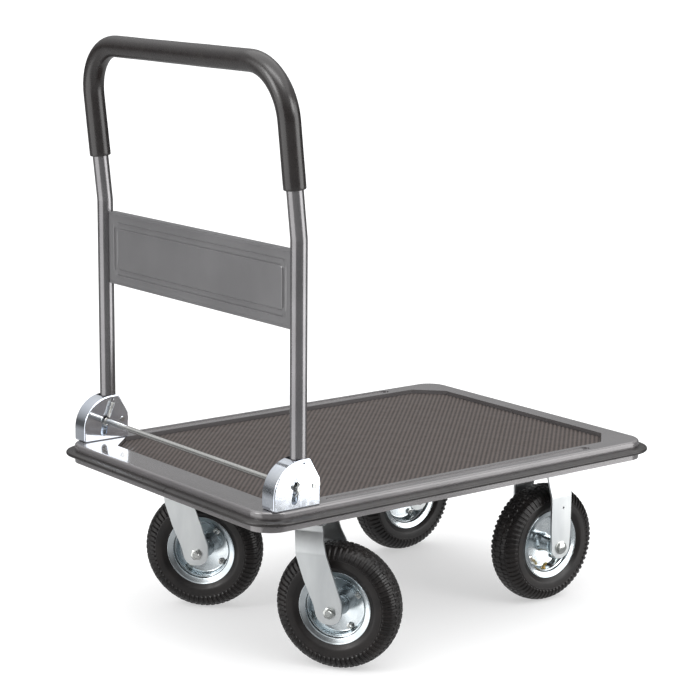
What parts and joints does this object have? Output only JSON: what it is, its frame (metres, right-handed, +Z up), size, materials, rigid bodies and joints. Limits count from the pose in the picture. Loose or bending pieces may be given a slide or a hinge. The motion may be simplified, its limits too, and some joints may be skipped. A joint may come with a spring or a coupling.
{
  "type": "folding platform cart",
  "caption": "Flat steel platform cart on pneumatic tyres, with a rubber bumper, anti-slip mat and a push handle that folds down on to the deck.",
  "frame": {"origin": "on the floor under the centre of the deck", "axes": "+X along the deck away from the handle, +Y to the left side, +Z up"},
  "size_m": [0.892, 0.6959, 1.0245],
  "materials": {
    "deck_paint": "gloss",
    "tube_paint": "gloss metallic",
    "mat_rubber": "ribbed matte",
    "bumper_rubber": "satin",
    "grip_foam": "satin foam",
    "bracket_zinc": "bright plated",
    "rod_zinc": "plated",
    "bolt_zinc": "plated",
    "fork_zinc": "zinc plated",
    "rim_zinc": "zinc plated",
    "tyre_rubber": "matte",
    "valve_brass": "plain"
  },
  "bodies": {
    "deck": {"deck_tray": "deck_paint", "deck_mat": "mat_rubber", "edge_bumper": "bumper_rubber", "caster_rail_handle_end": "deck_paint", "caster_rail_far_end": "deck_paint", "caster_bolts": "bolt_zinc", "bracket_left": "bracket_zinc", "bracket_right": "bracket_zinc", "bracket_bolts": "bolt_zinc", "pivot_rivets": "bolt_zinc", "rod_spring_left": "rod_zinc", "rod_spring_right": "rod_zinc", "swivel_plate_left": "fork_zinc", "swivel_plate_right": "fork_zinc", "kingpin_left": "bolt_zinc", "kingpin_right": "bolt_zinc", "rigid_fork_left": "fork_zinc", "rigid_fork_right": "fork_zinc", "axle_bolts_rigid": "bolt_zinc", "axle_nuts_rigid": "bolt_zinc"},
    "handle": {"handle_tube": "tube_paint", "handle_grip": "grip_foam", "handle_panel": "tube_paint", "leg_foot_left": "rod_zinc", "leg_foot_right": "rod_zinc"},
    "release": {"release_rod": "rod_zinc", "split_pins": "rod_zinc"},
    "swivel_left": {"swivel_fork_left": "fork_zinc", "ball_race_left": "fork_zinc", "axle_bolt_swivel_left": "bolt_zinc", "axle_nut_swivel_left": "bolt_zinc"},
    "swivel_right": {"swivel_fork_right": "fork_zinc", "ball_race_right": "fork_zinc", "axle_bolt_swivel_right": "bolt_zinc", "axle_nut_swivel_right": "bolt_zinc"},
    "wheel_swivel_left": {"tyre_swivel_left": "tyre_rubber", "rim_nut_side_swivel_left": "rim_zinc", "rim_valve_side_swivel_left": "rim_zinc", "rim_bolts_swivel_left": "bolt_zinc", "hub_swivel_left": "rim_zinc", "valve_swivel_left": "valve_brass"},
    "wheel_swivel_right": {"tyre_swivel_right": "tyre_rubber", "rim_nut_side_swivel_right": "rim_zinc", "rim_valve_side_swivel_right": "rim_zinc", "rim_bolts_swivel_right": "bolt_zinc", "hub_swivel_right": "rim_zinc", "valve_swivel_right": "valve_brass"},
    "wheel_rigid_left": {"tyre_rigid_left": "tyre_rubber", "rim_nut_side_rigid_left": "rim_zinc", "rim_valve_side_rigid_left": "rim_zinc", "rim_bolts_rigid_left": "bolt_zinc", "hub_rigid_left": "rim_zinc", "valve_rigid_left": "valve_brass"},
    "wheel_rigid_right": {"tyre_rigid_right": "tyre_rubber", "rim_nut_side_rigid_right": "rim_zinc", "rim_valve_side_rigid_right": "rim_zinc", "rim_bolts_rigid_right": "bolt_zinc", "hub_rigid_right": "rim_zinc", "valve_rigid_right": "valve_brass"}
  },
  "joints": [
    {"name": "handle_fold", "type": "hinge", "parent": "deck", "child": "handle", "pos_m": [-0.332, 0, 0.3305], "axis": [0, 1, 0], "range_deg": [0, 90]},
    {"name": "rod_release", "type": "slide", "parent": "deck", "child": "release", "axis": [-0.1788, 0, -0.9839], "range_m": [0, 0.021], "stiffness_N_per_m": 600, "springref_m": -0.02, "deforming": ["rod_spring_left", "rod_spring_right"]},
    {"name": "caster_swivel_left", "type": "hinge", "parent": "deck", "child": "swivel_left", "pos_m": [-0.301, 0.201, 0.256], "axis": [0, 0, 1], "continuous": true},
    {"name": "wheel_spin_swivel_left", "type": "hinge", "parent": "swivel_left", "child": "wheel_swivel_left", "pos_m": [-0.24688, 0.13417, 0.108], "axis": [0.7771, 0.6293, 0], "continuous": true},
    {"name": "caster_swivel_right", "type": "hinge", "parent": "deck", "child": "swivel_right", "pos_m": [-0.301, -0.201, 0.256], "axis": [0, 0, 1], "continuous": true},
    {"name": "wheel_spin_swivel_right", "type": "hinge", "parent": "swivel_right", "child": "wheel_swivel_right", "pos_m": [-0.25416, -0.27313, 0.108], "axis": [0.8387, 0.5446, 0], "continuous": true},
    {"name": "wheel_spin_rigid_left", "type": "hinge", "parent": "deck", "child": "wheel_rigid_left", "pos_m": [0.268, 0.201, 0.108], "axis": [0, 1, 0], "continuous": true},
    {"name": "wheel_spin_rigid_right", "type": "hinge", "parent": "deck", "child": "wheel_rigid_right", "pos_m": [0.268, -0.201, 0.108], "axis": [0, 1, 0], "continuous": true}
  ]
}
